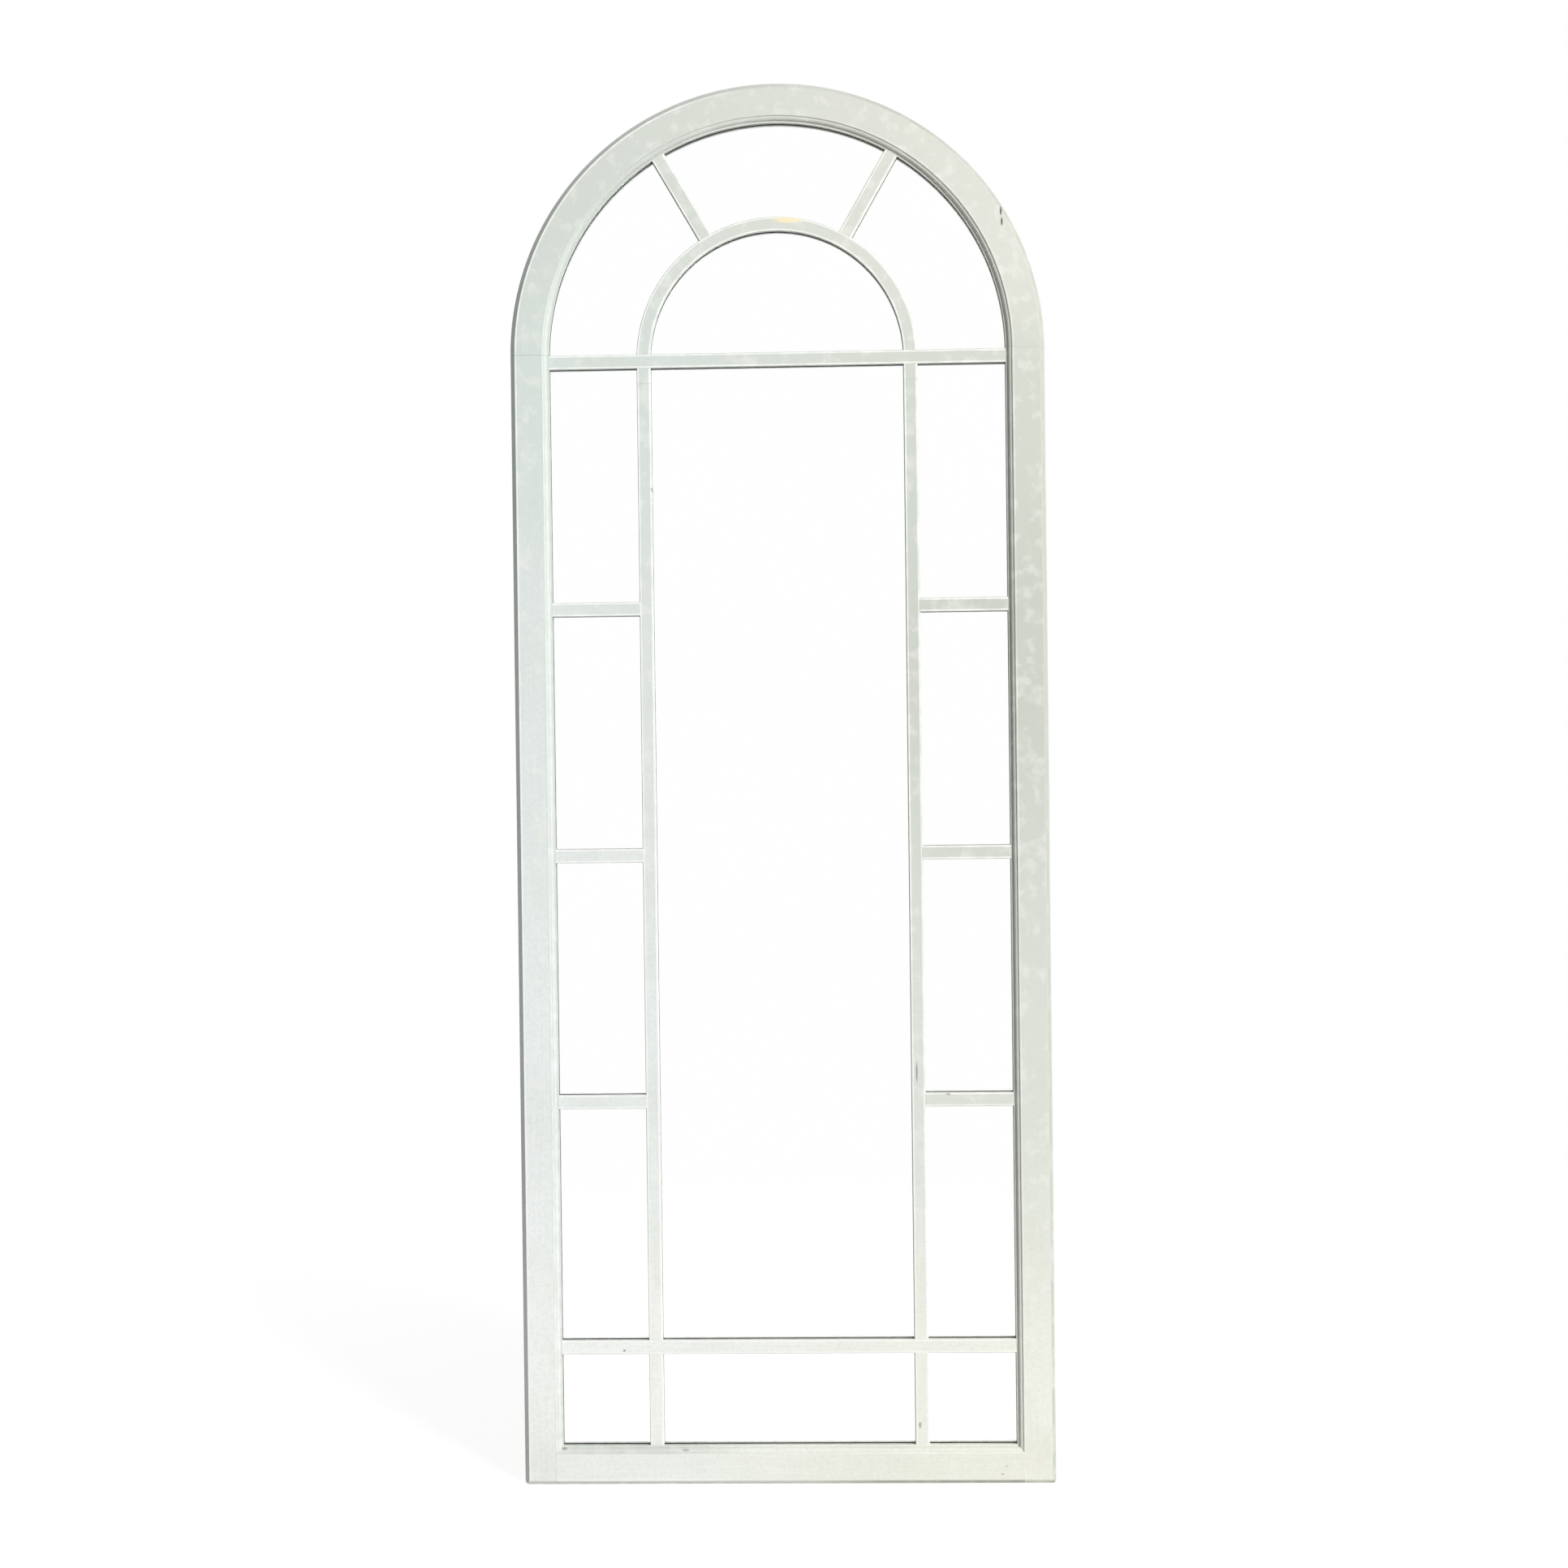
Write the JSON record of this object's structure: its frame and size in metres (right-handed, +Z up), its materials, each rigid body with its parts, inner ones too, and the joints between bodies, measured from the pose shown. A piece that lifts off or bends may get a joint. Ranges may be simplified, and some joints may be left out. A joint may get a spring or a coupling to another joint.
{
  "type": "arched window mirror",
  "caption": "Tall round-headed mirror made like a window: moulded wooden frame, inner arch, fan bars and glazing grille over one glass sheet, with D-ring hangers behind.",
  "frame": {"origin": "centre of the frame's underside, halfway through the frame's depth", "axes": "+Z up along the mirror's height, +Y from the mirror's face back to the wall, +X to the right seen from the front"},
  "size_m": [0.76, 0.036, 1.996],
  "materials": {
    "frame_paint": "satin white paint on wood, slightly worn",
    "bar_paint": "satin white paint on wood",
    "bare_wood": "raw beech",
    "board": "smooth brown hardboard",
    "mirror": "silvered float glass",
    "zinc_steel": "zinc plated",
    "rubber": "matte"
  },
  "bodies": {
    "body": {"left_stile": "frame_paint", "right_stile": "frame_paint", "bottom_rail": "frame_paint", "arch_head_left": "frame_paint", "arch_head_right": "frame_paint", "loose_tenons": "bare_wood", "mirror_glass": "mirror", "backing_board": "board", "side_bar_left_1": "bar_paint", "side_bar_left_2": "bar_paint", "side_bar_left_3": "bar_paint", "side_bar_right_1": "bar_paint", "side_bar_right_2": "bar_paint", "side_bar_right_3": "bar_paint", "left_upright": "bar_paint", "right_upright": "bar_paint", "inner_arch_left": "bar_paint", "inner_arch_right": "bar_paint", "transom_bar": "bar_paint", "base_bar": "bar_paint", "radial_bar_left": "bar_paint", "radial_bar_right": "bar_paint", "retaining_clips": "zinc_steel", "clip_screws": "zinc_steel", "hanger_plate_left": "zinc_steel", "hanger_plate_right": "zinc_steel", "hanger_screws": "zinc_steel", "wall_bumpers": "rubber"},
    "left_ring": {"hanger_ring_left": "zinc_steel"},
    "right_ring": {"hanger_ring_right": "zinc_steel"}
  },
  "joints": [
    {"name": "left_ring_hinge", "type": "hinge", "parent": "body", "child": "left_ring", "pos_m": [-0.3575, 0.01778, 1.5], "axis": [1, 0, 0], "range_deg": [0, 176]},
    {"name": "right_ring_hinge", "type": "hinge", "parent": "body", "child": "right_ring", "pos_m": [0.3575, 0.01778, 1.5], "axis": [1, 0, 0], "range_deg": [0, 176]}
  ]
}
